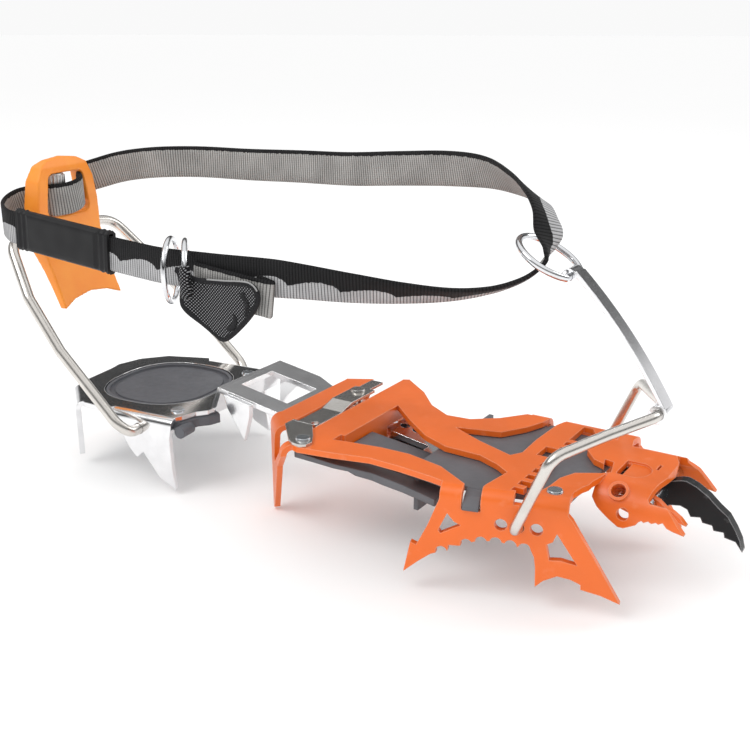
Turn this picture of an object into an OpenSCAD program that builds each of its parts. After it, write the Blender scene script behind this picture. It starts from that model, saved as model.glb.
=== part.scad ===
// Technical step-in crampon for a right boot.
// Two stamped steel sections joined by a sliding length bar, with wire bails,
// a heel lever, a safety strap and plastic anti-balling plates.
// +X points to the toe, +Y to the inner side of the foot, +Z up.
// z = 0 is the face the boot sole rests on, over the front section.

/* [Sheet metal] */
// Thickness of every stamped plate
sheet_t = 2.5; // [2.3:0.1:2.6]
// Outside radius of the folds of the front section
fold_r = 5; // [4.6:0.1:5.4]
// Angle between the outer side plate and the toe direction
splay = 15.1; // [14:0.1:16]

/* [Wires] */
// Wire diameter of the toe bail
toe_wire_d = 4; // [3.6:0.1:4]
// Wire diameter of the heel bail
heel_wire_d = 5; // [4.6:0.1:5]
// Wire diameter of the two buckle rings
ring_wire_d = 2.4; // [2:0.1:2.6]

/* [Toe hardware] */
// Thickness of the front point
point_t = 4.5; // [4:0.1:4.8]
// Diameter of the spare bail holes in the side plates
spare_d = 4.6; // [4.2:0.1:5]

/* [Length bar] */
// Distance between neighbouring holes of the length bar
hole_pitch = 6.3; // [6:0.1:6.5]
// Slope of the length bar
bar_slope = 9; // [8.8:0.1:9.1]

/* [Strap] */
// Width of the strap webbing
strap_w = 15; // [13:0.5:15.5]
// Thickness of the strap webbing
strap_t = 1.6; // [1.2:0.1:1.8]

/* [Hidden] */
$fn = 48;
run_gap = 0.08;
toe_r = toe_wire_d / 2;
heel_r = heel_wire_d / 2;
heel_fold_r = 4;
heel_z = -8;
heel_yaw = 6.3;
heel_org = [-165.7, 1.6, 0];
bail_x = 14.2;
bail_z = -12.2;
apex = [49.5, 0, 26.1];
ring_pin = [11, 5, 70.6];
lever_x = -85;
lever_z = 64;
bolt_xz = [[50, -8], [40, -8]];
rivet_xy = [[23, -30], [22, 31]];
latch_y = -27;

steel = [0.75, 0.75, 0.76];
orange = [0.94, 0.47, 0.16];
dark = [0.3, 0.3, 0.32];
black = [0.08, 0.08, 0.08];

// ---------- shared helpers ----------

// A round wire along a list of points, with a ball just proud of the wire at every corner
module wire(pts, r) {
    for (i = [0 : len(pts) - 2])
        wire_run(pts[i], pts[i + 1], r);
    for (i = [1 : len(pts) - 2])
        translate(pts[i])
            sphere(r + 0.03);
}

module wire_run(a, b, r) {
    d = b - a;
    translate(a)
        rotate([0, acos(d[2] / norm(d)), atan2(d[1], d[0])])
            cylinder(r = r, h = norm(d));
}

// A quarter-round fold along +X; the outer face is y = 0 and the top is z = 0
module fold(length, r) {
    rotate([90, 0, 90])
        linear_extrude(length)
            intersection() {
                translate([r, -r])
                    difference() {
                        circle(r);
                        circle(r - sheet_t);
                    }
                translate([0, -r])
                    square(r);
            }
}

// A flat plate in the XZ plane, y from 0 to the given thickness
module upright(t) {
    translate([0, t, 0])
        rotate([90, 0, 0])
            linear_extrude(t)
                children();
}

// Frames of the folded parts: x along the fold, y inward from the outer face
module near_side() {
    translate([-20, -50, 0])
        rotate([0, 0, splay])
            children();
}

module far_side() {
    translate([-21.3, 40, 0])
        mirror([0, 1, 0])
            children();
}

module near_leg() {
    translate([-108, -19, 0])
        rotate([0, 0, -46.08])
            translate([0, 0.05 - fold_r, 0])
                children();
}

module far_leg() {
    translate([-108, 31, 0])
        rotate([0, 0, 30])
            mirror([0, 1, 0])
                translate([0, 0.05 - fold_r, 0])
                    children();
}

module heel_frame() {
    translate(heel_org)
        rotate([0, 0, heel_yaw])
            children();
}

module bar_frame() {
    translate([-140, 0, 2])
        rotate([0, bar_slope, 0])
            children();
}

function mirror_y(p) = [p[0], -p[1], p[2]];

function near_pt(s) = [
    -20 + s * cos(splay) - fold_r * sin(splay),
    -50 + s * sin(splay) + fold_r * cos(splay)
];

// ---------- front section ----------

side_outline = [
    [6.3, -fold_r], [2, -16.3], [-2.1, -25], [-4.4, -24.1], [-7, -37], [-1.2, -31.7],
    [3.4, -28], [6.4, -26.7], [9.8, -25.7], [10.1, -23.2], [14.2, -22.9], [19.4, -20.4],
    [24.9, -19.2], [30.3, -19.1], [35.8, -19.8], [40.1, -19.9], [41.6, -23], [42.2, -27],
    [42.5, -35], [45.4, -32], [50.3, -29.3], [54.9, -29.9], [58.6, -31.3], [58.7, -33.3],
    [65.8, -34.5], [72.8, -36.8], [65.1, -24.1], [61.1, -17.6], [57.3, -11.6],
    [54.5, -6.9], [52.8, -fold_r]
];
scallops = [[7.5, -26.4], [16.8, -22], [22.2, -20.2], [27.6, -19.6], [33, -19.9], [38, -20.4]];

module side_profile() {
    difference() {
        polygon(side_outline);
        for (p = scallops)
            translate(p + [0, 0.1])
                circle(2.2);
        polygon([[9.4, -10.4], [12, -13.4], [14.5, -14.5], [7, -18.8], [6.2, -17.6]]);
        polygon([[49.3, -12.6], [48, -16], [45.7, -17.4], [47.1, -23.4], [51, -22.9], [57, -23.9]]);
        translate([14.5, -8])
            square([7, 5]);
    }
}

// One folded side plate with its spikes; spare holes are drilled square to the plate
module side_plate() {
    difference() {
        union() {
            upright(sheet_t)
                side_profile();
            translate([6.3, 0, 0])
                fold(8.2, fold_r);
            translate([21.5, 0, 0])
                fold(31.3, fold_r);
        }
        for (s = [29.2, 42])
            translate([s, -1, bail_z + 0.2])
                rotate([-90, 0, 0])
                    cylinder(d = spare_d, h = 5);
    }
}

module leg_profile(a, b, c) {
    polygon([
        [0, -fold_r], [a, -fold_r], [a * 0.8, -11], [a * 0.66, -17], [a * 0.66 + 2.4, -17.8],
        [b - 6, -8.6], [b, -fold_r], [c, -fold_r], [c * 0.83, -9.5], [c * 0.61, -15.5],
        [c * 0.43, -26], [5.5, -42.5], [2.6, -44], [1.2, -42]
    ]);
}

// A V-shaped rear leg hanging from both crossbars
module v_leg(a, b, c) {
    upright(sheet_t)
        leg_profile(a, b, c);
    fold(a, fold_r);
    translate([b, 0, 0])
        fold(c - b, fold_r);
}

module tooth_slot() {
    difference() {
        polygon([
            [9, -41.5], [14, -41.5], [17.5, -36], [19.4, -27], [20, -18], [23, -11],
            [31.5, -5.8], [34, -3], [31.8, 6.3], [27.9, 7.2], [29.3, 2.5], [24.4, 4.9],
            [19, 12], [18.4, 16.2], [18.6, 22.3], [16.7, 27.3], [13, 34], [9, 34]
        ]);
        for (y = [-33.9, -27.6, -21.3, -15, -8.7, 9.2, 15.5])
            translate([8, y])
                square([4.8, 2.6]);
    }
}

module front_openings() {
    translate([-97, -60])
        square([12, 120]);
    polygon([
        [-71.5, -33], [-64, -31.5], [-51, -29.4], [-38, -29], [-22, -32.6], [-13, -38],
        [-7.3, -41.4], [-7.3, -47], [-0.5, -45], [-0.5, -38], [1.4, -24], [-5, -19.4],
        [-14.3, -15.2], [-30, -14.7], [-42.4, -9], [-56, 2], [-70.6, 15.4], [-71.5, 15]
    ]);
    polygon([
        [-36, 5.2], [-17.6, 10.5], [-11, 21], [-7.6, 30], [-6.8, 36], [0.2, 36],
        [-1.5, 30], [-2.2, 11.2], [-1.6, -4], [-4.5, -8.9], [-20.6, -2.6]
    ]);
    tooth_slot();
    translate([4, -3])
        square([6, 9.5]);
}

module front_plan() {
    polygon([
        [-108, -19], [-82, -46], [-79, -47], [-65, -44.5], [-49, -40.5], [-35, -41],
        [-21, -42.5], near_pt(6.3), near_pt(52.8), [29, -27], [30, -21], [31.2, -18],
        [31.2, -15], [33, -6], [33, 24], [31.2, 31], [31.5, 40 - fold_r],
        [-17, 40 - fold_r], [-25, 24.5], [-35, 16.6], [-45.6, 15.5], [-57, 22.6],
        [-68, 35], [-82, 46], [-108, 31]
    ]);
}

module toe_section(grow) {
    rn = 13 - grow;
    rf = 6 - grow;
    translate([-2, -20 - grow])
        square([26, 20]);
    translate([-2 - rn, -20 - grow])
        square([rn, 7 + grow]);
    translate([24, -20 - grow])
        square([rf, 14 + grow]);
    translate([-2, -13])
        circle(rn);
    translate([24, -6])
        circle(rf);
}

module toe_profile() {
    polygon([
        [30.9, 1], [53, 1], [54.5, -2.6], [58.5, -4.9], [62.4, -8.9], [65.8, -12.6],
        [62, -12], [59.5, -11.3], [57.9, -9.7], [56.5, -10.6], [55.5, -10.2], [54, -11],
        [52.8, -10.4], [51.2, -11.3], [50.4, -10.8], [49.4, -11.5], [48.4, -13],
        [44, -15.4], [41.9, -15.4], [38.3, -13.2], [33.4, -9.6], [30.9, -6.6]
    ]);
}

// The raised toe channel that carries the front point between two walls
module toe_channel() {
    difference() {
        intersection() {
            translate([30.9, 0, 0])
                rotate([90, 0, 90])
                    linear_extrude(36)
                        difference() {
                            toe_section(0);
                            toe_section(sheet_t);
                        }
            translate([0, 60, 0])
                rotate([90, 0, 0])
                    linear_extrude(120)
                        toe_profile();
            translate([0, 0, -22])
                linear_extrude(24)
                    polygon([
                        [30, -20], [70, -20], [70, -12], [52, -12], [51, -11], [52.4, -4],
                        [53.6, 3], [54.5, 10], [53, 19], [50.4, 25], [51, 27], [70, 27],
                        [70, 35], [30, 35]
                    ]);
        }
        translate([35.8, -2, -4])
            cube([2, 12, 6]);
        translate([36, 0, -0.9])
            linear_extrude(2)
                intersection() {
                    translate([0, -3])
                        square([12, 14]);
                    translate([3, 4])
                        circle(8);
                }
        translate([47.6, 8, -4])
            cube([0.9, 5, 6]);
        translate([40, -10.7, -3.3])
            rotate([42, 0, 0])
                translate([0, 0, -5])
                    cylinder(r = 2.7, h = 9);
        translate([43.3, -20, -10.2])
            rotate([-90, 0, 0])
                cylinder(d = 4.5, h = 10);
        point_bores(24, 10);
    }
    translate([40, -10.7, -3.4])
        rotate([42, 0, 0])
            difference() {
                cylinder(r = 3.8, h = 0.9);
                translate([0, 0, -1])
                    cylinder(r = 2.7, h = 3);
            }
}

// Bores along Y for the two bolts of the front point
module point_bores(y, length) {
    for (b = bolt_xz)
        translate([b[0], y, b[1]])
            rotate([-90, 0, 0])
                cylinder(r = 2 + run_gap, h = length);
}

// The folded front flange of the second crossbar, with the window for the bar
module bar_flange() {
    difference() {
        translate([-72, -27, -15])
            cube([sheet_t, 55, 15]);
        translate([-73, 5.6, -12.9])
            cube([5, 21, 5.7]);
    }
}

module front_frame() {
    color(orange)
    difference() {
        union() {
            difference() {
                union() {
                    translate([0, 0, -sheet_t])
                        linear_extrude(sheet_t)
                            front_plan();
                    toe_channel();
                }
                translate([0, 0, -6])
                    linear_extrude(8)
                        front_openings();
                for (p = rivet_xy)
                    translate([p[0], p[1], -4])
                        cylinder(r = 2 + run_gap, h = 5);
                translate([-80, -41.5, -4])
                    cylinder(r = 2 + run_gap, h = 5);
            }
            bar_flange();
            near_side()
                side_plate();
            far_side()
                side_plate();
            near_leg()
                v_leg(15.9, 33.1, 37.5);
            far_leg()
                v_leg(12.7, 26.5, 30);
        }
        near_side()
            translate([33.3, -1, -3.6])
                cube([4.2, 8, 5]);
        translate([bail_x, -60, bail_z])
            rotate([-90, 0, 0])
                cylinder(r = toe_r + run_gap, h = 120);
    }
}

// Clip tab of the anti-balling plate that snaps into a side notch
module clip_tab() {
    translate([15, 0, 0])
        rotate([90, 0, 90])
            linear_extrude(6)
                polygon([
                    [10, -2.9], [6, -2.9], [3, -3.6], [0.6, -5.2], [-1.2, -6.4], [-1.2, -7.7],
                    [2.5, -7.7], [4, -6.4], [10, -4.7]
                ]);
}

module front_antiball_plate() {
    color(dark)
    difference() {
        union() {
            translate([0, 0, -4.7])
                linear_extrude(1.9)
                    polygon([
                        [-34, -32], [-20, -36], [-7, -38], [-1, -37], [12, -33.5], [28, -28],
                        [28, -20], [29, -12], [29, 24], [28, 31], [0, 33], [-14, 33],
                        [-25, 20], [-34, 14]
                    ]);
            near_side()
                clip_tab();
            far_side()
                clip_tab();
            // end wall and floor of the gutter under the length bar
            translate([-34, -32, -21.5])
                cube([2, 65, 18.6]);
            intersection() {
                bar_frame()
                    translate([72.3, -9.6, -6.4])
                        cube([36.5, 42.2, 1.9]);
                translate([-69, -20, -40])
                    cube([37, 60, 40]);
            }
            // side shelf and its outer lip under the outer rail
            translate([0, -8, 0])
                rotate([90, 0, 0])
                    linear_extrude(23)
                        polygon([[-68.8, -4.8], [-32, -9], [-32, -11], [-68.8, -6.8]]);
            translate([0, -7.6, 0])
                rotate([90, 0, 0])
                    linear_extrude(2)
                        polygon([[-68.8, -4.8], [-32, -9], [-32, -22.8], [-68.8, -15.8]]);
            intersection() {
                translate([0, -20, 0])
                    rotate([90, 0, 0])
                        linear_extrude(30)
                            polygon([
                                [-83, -4.2], [-20, -10.3], [-20, -13], [-45, -11.2], [-56, -9.6],
                                [-59, -8.2], [-83, -6.6]
                            ]);
                translate([0, 0, -30])
                    linear_extrude(30)
                        polygon([
                            [-84, -43.5], [-65, -42], [-49, -38.3], [-35, -38.8], [-18, -41],
                            [-18, -30], [-84, -30]
                        ]);
            }
        }
        for (p = rivet_xy)
            translate([p[0], p[1], -6])
                cylinder(r = 2 + run_gap, h = 5);
    }
}

module front_point() {
    color(black)
    difference() {
        translate([0, 8, 0])
            upright(point_t)
                polygon([
                    [34, -4], [37.5, -3.1], [54, -3.1], [54.9, -2.8], [57, -2.1],
                    [59.1, -1.9], [63, -3.3], [67.7, -6.2], [71.6, -9.6], [75.3, -12.3],
                    [78.2, -16.5], [80.5, -20.7], [81.7, -25], [78.9, -21.4], [74.8, -20.8],
                    [74.4, -18.9], [70.7, -19.1], [70, -17.2], [66.4, -17], [65.5, -15.1],
                    [61.9, -15.8], [60.5, -13.2], [57.8, -12.3], [54, -13], [50.8, -15.1],
                    [46.5, -13.6], [42, -12], [34, -11.4]
                ]);
        point_bores(7, 8);
    }
}

module point_cheek_plate() {
    color(orange)
    difference() {
        translate([0, -5.5, 0])
            upright(2.4)
                polygon([
                    [34, -5], [50, -4.6], [53.5, -6], [56, -8], [59, -9.2], [61.8, -11], [64, -13.4],
                    [60.4, -12.6], [57, -11.2], [54, -12], [48, -12.6], [44, -14], [34, -11]
                ]);
        point_bores(-7, 6);
    }
}

module front_point_bolts() {
    color(steel)
    for (b = bolt_xz)
        translate([b[0], 0, b[1]])
            rotate([-90, 0, 0]) {
                translate([0, 0, -8.8])
                    difference() {
                        cylinder(r = 2.8, h = 3.1);
                        translate([0, 0, -1])
                            cylinder(r = 1.5, h = 2.6, $fn = 6);
                    }
                translate([0, 0, -5.8])
                    cylinder(r = 2, h = 40);
            }
}

module front_point_nuts() {
    color(steel)
    for (b = bolt_xz)
        translate([b[0], 30.1, b[1]])
            rotate([-90, 0, 0])
                difference() {
                    cylinder(r = 3.9, h = 3.2, $fn = 6);
                    translate([0, 0, -1])
                        cylinder(r = 2 + run_gap, h = 6);
                }
}

module front_point_spacers() {
    color(steel)
    for (b = bolt_xz)
        for (span = [[-3, 10.9], [12.6 + point_t - 4.5, 14.7 - point_t + 4.5]])
            translate([b[0], span[0], b[1]])
                rotate([-90, 0, 0])
                    difference() {
                        cylinder(r = 3, h = span[1]);
                        translate([0, 0, -1])
                            cylinder(r = 2 + run_gap, h = span[1] + 2);
                    }
}

// A flush rivet: low head above, shank through, upset tail below
module rivet(head_z, tail_z) {
    translate([0, 0, head_z])
        cylinder(r1 = 3.1, r2 = 2.7, h = 0.8);
    translate([0, 0, tail_z])
        cylinder(r = 2, h = head_z - tail_z + 0.1);
    translate([0, 0, tail_z - 0.8])
        cylinder(r1 = 2.6, r2 = 3, h = 0.8);
}

module frame_rivets() {
    color(steel)
    for (p = rivet_xy)
        translate([p[0], p[1], 0])
            rivet(0.03, -4.75);
}

// ---------- length latch ----------

module latch_anchor() {
    color(steel)
    difference() {
        translate([0, 0, 0.03])
            linear_extrude(1.2)
                polygon([
                    [-96.2, latch_y - 0.3], [-96.2, -32], [-85, -44.4], [-82, -46.4], [-78, -47],
                    [-75.6, -45.4], [-75.2, -42], [-79, -36], [-85.8, latch_y - 0.3]
                ]);
        translate([-80, -41.5, -1])
            cylinder(r = 2 + run_gap, h = 4);
    }
}

module latch_rivet() {
    color(steel)
    translate([-80, -41.5, 0])
        rivet(1.26, -2.55);
}

module latch_spring() {
    color(steel)
    difference() {
        translate([-96.2, 0, 0])
            rotate([90, 0, 90])
                linear_extrude(10.4)
                    polygon([
                        [latch_y + 0.1, 0.03], [latch_y + 1.4, -1.6], [-5, -1.6], [3, 0.6],
                        [32, 0.6], [32, 1.8], [2.6, 1.8], [-5.4, -0.4], [latch_y + 2.2, -0.4],
                        [latch_y + 0.9, 1.23], [latch_y + 0.1, 1.23]
                    ]);
        translate([-88.4, -21.6, -4])
            cylinder(r = 1.8, h = 6);
        translate([-91.6, 16, -2])
            cylinder(r = 2 + run_gap, h = 6);
        translate([-97, 21, -2])
            cube([2.6, 12, 6]);
        translate([-88.4, 21, -2])
            cube([4, 12, 6]);
    }
}

module latch_pin() {
    color(steel)
    translate([-91.6, 16, 0]) {
        translate([0, 0, -4.7])
            cylinder(r = 2, h = 7.2);
        translate([0, 0, 1.83])
            cylinder(r1 = 3.4, r2 = 3, h = 1.1);
    }
}

// ---------- rear section ----------

function oval(cx, cy, rx, ry, k) = [
    for (a = [0 : 10 : 350])
        [
            cx + k * rx * sign(cos(a)) * pow(abs(cos(a)), 0.82),
            cy + k * ry * sign(sin(a)) * pow(abs(sin(a)), 0.82)
        ]
];

module dish(k) {
    polygon(oval(-26, 0.8, 28.8, 30, k));
}

module heel_side_profile() {
    polygon([
        [5.6, -12], [4.4, -17.5], [4.9, -32], [6.3, -41.7], [-2.3, -37.5], [-9.9, -27.5],
        [-10.9, -26.2], [-14.7, -29.5], [-18.3, -25.7], [-21.3, -20.7], [-28, -12]
    ]);
}

module heel_corner_leg(w) {
    upright(sheet_t)
        polygon([
            [1, -heel_fold_r], [w, -heel_fold_r], [w * 0.84, -10], [w * 0.65, -22],
            [w * 0.56, -31], [w * 0.48, -29], [w * 0.3, -16], [w * 0.13, -10]
        ]);
    translate([1, 0, 0])
        fold(w - 1, heel_fold_r);
}

module heel_plate() {
    difference() {
        translate([0, 0, heel_z - sheet_t])
            linear_extrude(sheet_t)
                difference() {
                    polygon([
                        [-28, -37], [5.6, -37], [7, -34], [9.5, -27], [13.5, -23], [15, -18],
                        [15, 27], [9, 33], [5.6, 37], [-28, 37], [-31, 41], [-52, 34.8],
                        [-63, 23.6], [-67, 12], [-66, 5], [-65.5, -15], [-64, -20],
                        [-45, -39.5], [-31, -41]
                    ]);
                    dish(1);
                }
        for (y = [-29, 29])
            translate([1, y, heel_z - 4])
                cylinder(r = 2 + run_gap, h = 5);
    }
    for (m = [0, 1])
        mirror([0, m, 0])
            translate([0, -41, 0])
                difference() {
                    union() {
                        upright(sheet_t)
                            heel_side_profile();
                        translate([-28, 0, heel_z])
                            fold(33.6, heel_fold_r);
                    }
                    translate([-12.5, -1, -15])
                        rotate([-90, 0, 0])
                            cylinder(r = heel_r + run_gap, h = 5);
                }
    translate([-64, -20, heel_z])
        rotate([0, 0, -45.74])
            translate([0, 0.05 - heel_fold_r, 0])
                heel_corner_leg(26);
    translate([-63, 23.6, heel_z])
        rotate([0, 0, 45.5])
            mirror([0, 1, 0])
                translate([0, 0.05 - heel_fold_r, 0])
                    heel_corner_leg(15.6);
}

module bar_plan() {
    difference() {
        polygon([
            [-5, -16.5], [-5, 29.5], [18, 29.5], [29, 25], [91.7, 25], [91.7, 30], [105.3, 30],
            [105.3, -7], [98, -7], [91.7, 2], [91.7, 7.2], [33, 7.2], [30.4, -8], [28, -16.5]
        ]);
        translate([-1, -6])
            square([26.3, 22.5]);
        for (i = [0 : 7])
            translate([86.87 - i * hole_pitch, 16])
                circle(2.15);
    }
}

module rear_frame() {
    color(steel) {
        heel_frame()
            heel_plate();
        // sloping riser from the heel plate up to the window section
        translate([0, 29.5, 0])
            rotate([90, 0, 0])
                linear_extrude(46)
                    polygon([
                        [-158, heel_z], [-150.6, heel_z], [-146.2, 2.98], [-144, 2.64],
                        [-144, 0.13], [-144.5, 0.2], [-148.9, heel_z - sheet_t],
                        [-158, heel_z - sheet_t]
                    ]);
        bar_frame() {
            translate([0, 0, -sheet_t])
                linear_extrude(sheet_t)
                    bar_plan();
            translate([103.8, -7, -0.1])
                cube([1.5, 37, 3]);
        }
        // small spikes folded down beside the window
        translate([0, -16.3, 0])
            mirror([0, 1, 0])
                upright(sheet_t)
                    polygon([[-141, 1], [-126, -1.2], [-126.5, -7], [-130, -19], [-133, -14], [-139, -5]]);
        translate([0, 29.3, 0])
            upright(sheet_t)
                polygon([[-144.6, 1.5], [-130, -0.8], [-134, -6], [-143, -15], [-147, -21], [-146.4, -8]]);
    }
}

module heel_antiball_plate() {
    color(dark)
    heel_frame()
    difference() {
        union() {
            translate([0, 0, heel_z - sheet_t - 2.1])
                linear_extrude(2)
                    dish(1.1);
            translate([0, 0, heel_z - sheet_t - 0.2])
                linear_extrude(2.3)
                    difference() {
                        dish(0.98);
                        dish(0.93);
                    }
            translate([0, 0, heel_z - sheet_t - 0.2])
                linear_extrude(1)
                    dish(0.95);
            translate([0, 0, heel_z - sheet_t - 0.2])
                linear_extrude(1.7)
                    dish(0.84);
            // front lip with its round knob
            translate([0, 0, -14.6])
                linear_extrude(4)
                    polygon([
                        [3.4, -36.6], [8.4, -35], [11, -27.8], [15, -24], [17, -19], [13.5, -16],
                        [6, -21], [5.2, -27], [4.8, -31]
                    ]);
            for (y = [-33.5, 18])
                translate([-14, y, heel_z - sheet_t - 2.1])
                    cube([20, 15.5, 2]);
            translate([9.2, -39.4, -13.8])
                rotate([-90, 0, 0])
                    cylinder(r = 2.8, h = 8);
        }
        for (y = [-29, 29])
            translate([1, y, -20])
                cylinder(r = 2 + run_gap, h = 12);
    }
}

module heel_rivets() {
    color(steel)
    heel_frame()
        for (y = [-29, 29])
            translate([1, y, 0])
                rivet(heel_z + 0.03, heel_z - sheet_t - 2.15);
}

// ---------- toe bail, strip and ring ----------

toe_half = [
    [bail_x, -36.4, bail_z], [bail_x, -43.4, bail_z], [15.1, -45.5, -10.2], [26.2, -46, 17],
    [28.6, -43.4, 20.2], [apex[0], -5.4, apex[2]]
];

module toe_bail() {
    color(steel)
        wire(concat(toe_half, [for (i = [5 : -1 : 0]) mirror_y(toe_half[i])]), toe_r);
}

strip_len = norm([ring_pin[0] - apex[0], ring_pin[2] - apex[2]]);
strip_ang = atan2(ring_pin[2] - apex[2], ring_pin[0] - apex[0]);
strip_arc = 15.6;
strip_rad = strip_len / 2 / sin(strip_arc / 2);

// An eye rolled around a wire that runs along Y
module eye(r_in, w) {
    translate([0, -w / 2, 0])
        rotate([-90, 0, 0])
            difference() {
                cylinder(r = r_in + run_gap + 1.5, h = w);
                translate([0, 0, -1])
                    cylinder(r = r_in + run_gap, h = w + 2);
            }
}

module toe_strip() {
    color(steel)
    difference() {
        union() {
            translate(apex)
                rotate([0, -strip_ang, 0])
                    rotate([0, 0, 4.8])
                        translate([strip_len / 2, 0, strip_rad * cos(strip_arc / 2) - 2.8])
                            rotate([90, 0, 0])
                                rotate([0, 0, 270 - strip_arc / 2])
                                    rotate_extrude(angle = strip_arc, $fn = 720)
                                        translate([strip_rad - 0.75, -4])
                                            square([1.5, 8]);
            translate(apex)
                eye(toe_r, 8);
            translate(ring_pin)
                eye(1.4, 8.4);
        }
        translate(apex + [0, -8, 0])
            rotate([-90, 0, 0])
                cylinder(r = toe_r + run_gap, h = 16);
        translate(ring_pin + [0, -8, 0])
            rotate([-90, 0, 0])
                cylinder(r = 1.4 + run_gap, h = 16);
    }
}

// Round ring with one straight side; the straight side is its hinge in the strip
module toe_ring() {
    color(steel)
    translate(ring_pin)
        rotate([0, 29.4, 0])
            translate([-11, 0, 0]) {
                rotate([0, 0, 32.2])
                    rotate_extrude(angle = 295.6)
                        translate([13, 0])
                            circle(1.4, $fn = 24);
                for (m = [0, 1])
                    mirror([0, m, 0])
                        translate([11, 6.93, 0])
                            sphere(1.43);
                translate([11, -6.93, 0])
                    rotate([-90, 0, 0])
                        cylinder(r = 1.4, h = 13.86);
            }
}

// ---------- heel bail and lever ----------

heel_half = [
    [-12.5, -36, -15], [-12.5, -45, -15], [-16.4, -49.3, -11.2], [-47, -48.7, 19],
    [-81.5, -38.2, 59.6], [lever_x, -26, lever_z]
];

module heel_bail() {
    color(steel)
    heel_frame()
        for (m = [0, 1])
            mirror([0, m, 0])
                wire(concat(heel_half, [[lever_x, m, lever_z]]), heel_r);
}

module heel_lever() {
    color(orange)
    heel_frame()
    translate([0, 1.5, 0])
    difference() {
        intersection() {
            translate([0, 30, 0])
                rotate([90, 0, 0])
                    linear_extrude(60)
                        polygon([
                            [-82.6, 98.6], [-80.6, 94], [-80.2, 84], [-80.2, 62], [-77.6, 50],
                            [-69.4, 28], [-72.4, 27], [-82, 46], [-87, 55], [-89.2, 60],
                            [-89.6, 70], [-89, 88], [-87.4, 95], [-85, 98.6]
                        ]);
            translate([-100, 0, 0])
                rotate([90, 0, 90])
                    linear_extrude(60)
                        polygon([
                            [0, 98.6], [10, 97.4], [15, 95], [18.6, 88], [20.6, 76], [20.8, 60],
                            [19.6, 44], [20.2, 28.4], [12, 31.6], [0, 33.2], [-12, 31.6],
                            [-20.2, 28.4], [-19.6, 44], [-20.8, 60], [-20.6, 76], [-18.6, 88],
                            [-15, 95], [-10, 97.4]
                        ]);
        }
        // window
        translate([-100, 0, 0])
            rotate([90, 0, 90])
                linear_extrude(60)
                    polygon([
                        [-9.6, 91], [9.6, 91], [11.6, 89.6], [12.4, 87], [14.4, 74], [13.6, 71.6],
                        [11.6, 70.6], [-11.6, 70.6], [-13.6, 71.6], [-14.4, 74], [-12.4, 87],
                        [-11.6, 89.6]
                    ]);
        translate([lever_x, -30, lever_z])
            rotate([-90, 0, 0])
                cylinder(r = heel_r + run_gap, h = 60);
        translate([lever_x, -3.5, 85])
            cylinder(r = 1.5 + run_gap, h = 11);
        // lightening pocket in the back
        translate([-94, -12, 40])
            cube([8, 24, 18]);
        // raised-panel groove on the face
        translate([-79.8, 0, 46])
            rotate([0, -74, 0])
                translate([0, 0, -0.9])
                    difference() {
                        cylinder(r = 9.5, h = 6);
                        translate([0, 0, -1])
                            cylinder(r = 8.3, h = 9);
                    }
    }
}

module adjuster_wheel() {
    color(steel)
    heel_frame()
    translate([lever_x, -2, 81])
    difference() {
        union() {
            cylinder(r = 4.4, h = 9.6);
            for (a = [0 : 22.5 : 337.5])
                rotate([0, 0, a])
                    translate([4.4, 0, 0.6])
                        cylinder(r = 0.7, h = 8.4, $fn = 16);
        }
        translate([0, 0, -1])
            cylinder(r = 1.5 + run_gap, h = 12);
    }
}

module adjuster_stem() {
    color(steel)
    heel_frame()
    translate([lever_x, -2, 80.4])
        cylinder(r = 1.5, h = 12.6);
}

// ---------- safety strap ----------

// Flat webbing along points [x, y, z, roll]; the roll turns each run about its own line
module webbing(pts, w, t) {
    for (i = [0 : len(pts) - 2]) {
        a = [pts[i][0], pts[i][1], pts[i][2]];
        b = [pts[i + 1][0], pts[i + 1][1], pts[i + 1][2]];
        d = b - a;
        translate(a)
            rotate([pts[i][3], -asin(d[2] / norm(d)), atan2(d[1], d[0])])
                translate([-t / 2, -t / 2, -w / 2])
                    cube([norm(d) + t, t, w]);
    }
}

module strap_webbing() {
    color(black)
        webbing([
            [1, 4, 79, -60], [0.6, 3, 75.4, -60], [-2, 0, 71, -65], [-7, -5, 67.4, -68],
            [-15, -11.5, 64.6, -68], [-27, -19, 63, -60], [-43, -28, 63.4, -45],
            [-60, -36, 64.7, -28], [-79, -42, 66, -12], [-91, -45, 66.4, 0],
            [-118.6, -48, 66, 0], [-150, -48.2, 65.6, 0], [-236, -47.2, 71.8, 0],
            [-243, -45.2, 72.8, 0], [-249, -41, 73.4, 0], [-254.4, -34.5, 74, 0],
            [-258, -26, 74.4, 0], [-260, -17, 73, 0], [-261, -8, 72, 0], [-261.2, 0, 72.4, 0],
            [-260.4, 8, 74.4, 0], [-258.4, 15, 78, 0], [-253, 21.4, 84.6, 0],
            [-244, 25.8, 89.6, 0], [-234, 28.8, 91.8, 0], [-219, 33, 93.5, 0],
            [-200.6, 40.5, 94, 0], [-173, 45, 94, 0], [-143, 46, 95, 0], [-114, 45, 96, 0],
            [-86, 42, 98.5, 5], [-58, 36, 101, 10], [-36, 29, 101.6, 25], [-18.7, 20, 99, 45],
            [-8, 13, 95.6, 60], [-3, 9, 91, 60], [0, 6, 85, 60], [1, 4, 79, 60]
        ], strap_w, strap_t);
}

module strap_tail() {
    color(black)
        webbing([
            [-124, -50.4, 62.6, 0], [-104, -50, 60.4, 0], [-92, -48.9, 59.8, 0],
            [-88, -47.9, 59.8, 0]
        ], strap_w * 0.96, strap_t * 0.9);
}

module strap_keeper() {
    color(black)
        translate([-173, -47.93, 67.26])
            rotate([0, -asin(6.2 / norm([86, 1, 6.2])), atan2(1, -86)])
                difference() {
                    translate([0, -2.1, -8.9])
                        cube([58, 4.2, 17.8]);
                    translate([-1, -1.1, -8])
                        cube([60, 2.2, 16]);
                }
}

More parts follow.
